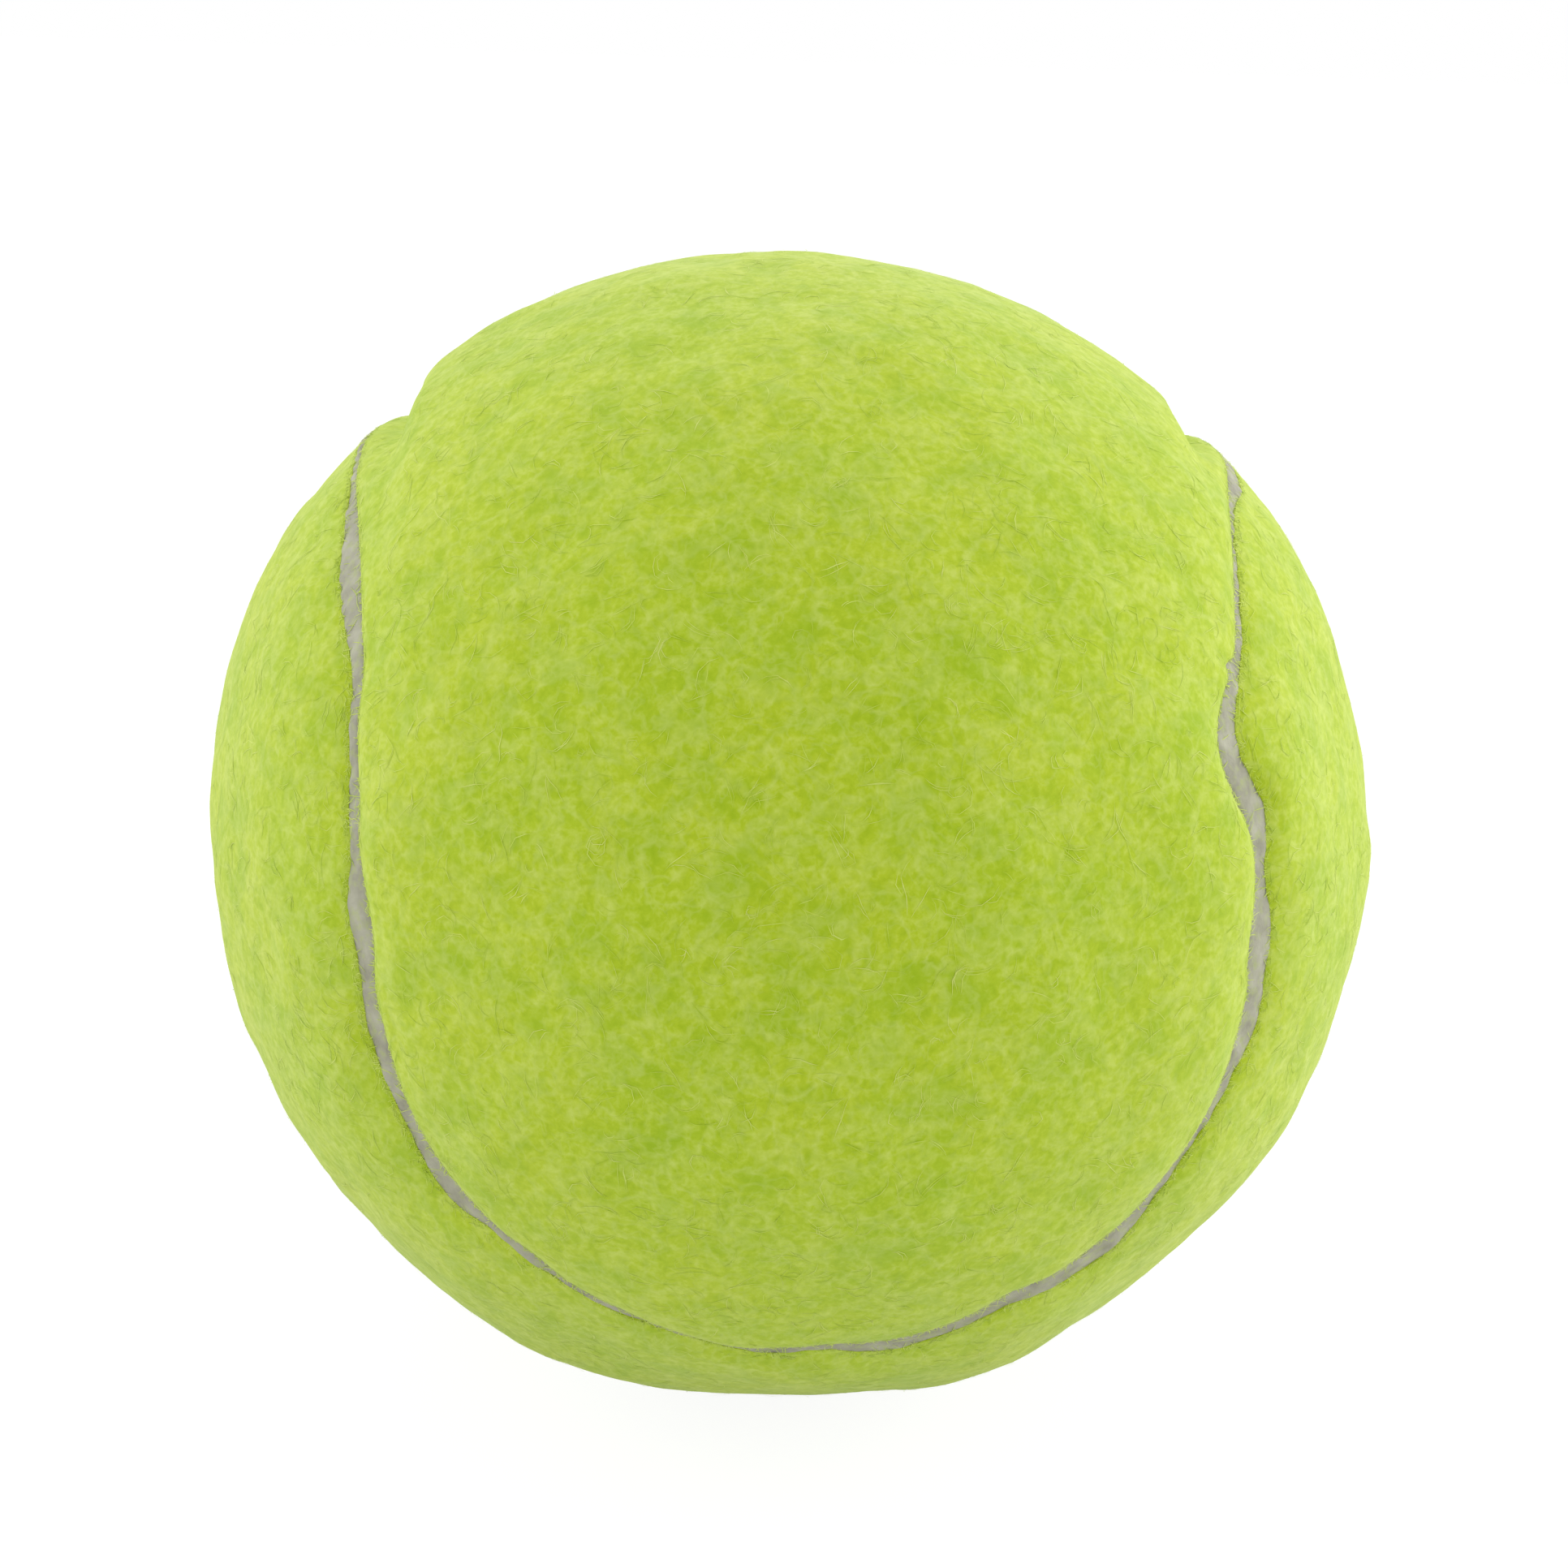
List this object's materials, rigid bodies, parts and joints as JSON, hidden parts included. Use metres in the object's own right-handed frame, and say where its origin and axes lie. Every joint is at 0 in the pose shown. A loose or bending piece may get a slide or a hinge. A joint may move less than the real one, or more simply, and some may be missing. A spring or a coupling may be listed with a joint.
{
  "type": "tennis ball",
  "caption": "Hollow rubber ball covered by two interlocking dog-bone felt panels with one recessed grey cemented seam.",
  "frame": {"origin": "the ball's centre", "axes": "+Z through the middle of felt panel A's waist, with panel A's lobes facing -Y and +Y and panel B's lobes facing -X and +X; the core's joint lies in the XY plane"},
  "size_m": [0.0666, 0.0666, 0.0666],
  "materials": {
    "core_rubber": "matt moulded",
    "joint_cement": "satin",
    "core_coat": "satin",
    "felt_backing": "matt",
    "felt_nap": "raised curly nap",
    "seam_cement": "matt"
  },
  "bodies": {
    "root": {"core_half_upper": "core_rubber", "core_half_lower": "core_rubber", "core_joint_cement": "joint_cement", "core_coat": "core_coat", "backing_panel_a": "felt_backing", "backing_panel_b": "felt_backing", "felt_panel_a": "felt_nap", "felt_panel_b": "felt_nap", "seam_cement": "seam_cement"}
  },
  "joints": []
}
